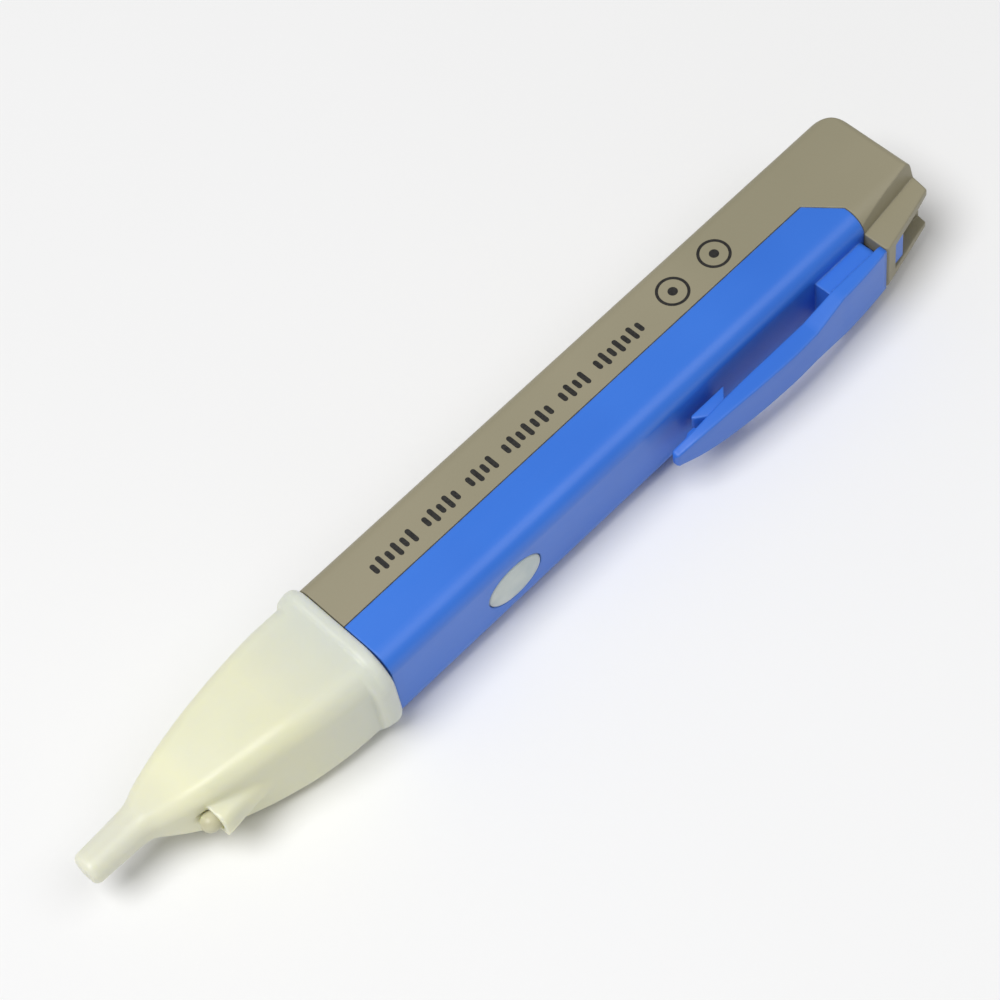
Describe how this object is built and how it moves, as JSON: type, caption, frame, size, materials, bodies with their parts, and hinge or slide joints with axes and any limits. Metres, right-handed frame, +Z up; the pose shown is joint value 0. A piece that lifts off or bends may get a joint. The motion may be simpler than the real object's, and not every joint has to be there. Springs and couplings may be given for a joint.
{
  "type": "non contact voltage tester",
  "caption": "Pen-shaped non contact voltage tester with a translucent cone tip, oval button, pocket clip, torch hood and a slide-off battery cover.",
  "frame": {"origin": "under the middle of the pen, at the level that its collar rests on, with the pen lying on its side", "axes": "+X along the pen from nose to cap, -Y towards the button and clip, +Z up across the pen's width"},
  "size_m": [0.155, 0.0256, 0.0174],
  "materials": {
    "tip_plastic": "satin translucent",
    "taupe_plastic": "satin",
    "blue_plastic": "satin",
    "button_plastic": "satin translucent",
    "black_plastic": "matt",
    "board_laminate": "solder mask",
    "steel": "plain",
    "brass": "plain",
    "clear_lamp": "clear",
    "red_lamp": "clear red",
    "ceramic_part": "plain",
    "cell_wrap": "printed sleeve",
    "wire_insulation": "soft"
  },
  "bodies": {
    "housing": {"probe_tip": "tip_plastic", "front_shell": "blue_plastic", "switch_body": "black_plastic", "circuit_board": "board_laminate", "sensor_antenna": "brass", "sensor_lead": "wire_insulation", "torch_led": "clear_lamp", "indicator_led": "red_lamp", "buzzer": "black_plastic", "controller_ic": "black_plastic", "resistors": "ceramic_part", "capacitors": "ceramic_part", "transistors": "black_plastic", "battery_front": "cell_wrap", "battery_rear": "cell_wrap", "battery_cradle": "black_plastic", "positive_contact": "brass", "positive_lead": "wire_insulation", "contact_link": "steel", "negative_spring": "steel", "board_screws": "steel"},
    "cover": {"rear_shell": "taupe_plastic", "latch_pin": "steel"},
    "latch": {"latch_tongue": "blue_plastic"},
    "clip": {"pocket_clip": "blue_plastic"},
    "button": {"power_button": "button_plastic", "switch_plunger": "black_plastic"}
  },
  "joints": [
    {"name": "cover_slide", "type": "slide", "parent": "housing", "child": "cover", "axis": [1, 0, 0], "range_m": [0, 0.112]},
    {"name": "latch_press", "type": "hinge", "parent": "cover", "child": "latch", "pos_m": [0.072, -0.00662, 0.0087], "axis": [0, 0, -1], "range_deg": [0, 3.5], "stiffness_Nm_per_rad": 0.02},
    {"name": "clip_flex", "type": "hinge", "parent": "housing", "child": "clip", "pos_m": [0.054, -0.01103, 0.0087], "axis": [0, 0, 1], "range_deg": [0, 6], "stiffness_Nm_per_rad": 2.7},
    {"name": "button_press", "type": "slide", "parent": "housing", "child": "button", "axis": [0, 1, 0], "range_m": [0, 0.0005], "stiffness_N_per_m": 2500}
  ]
}
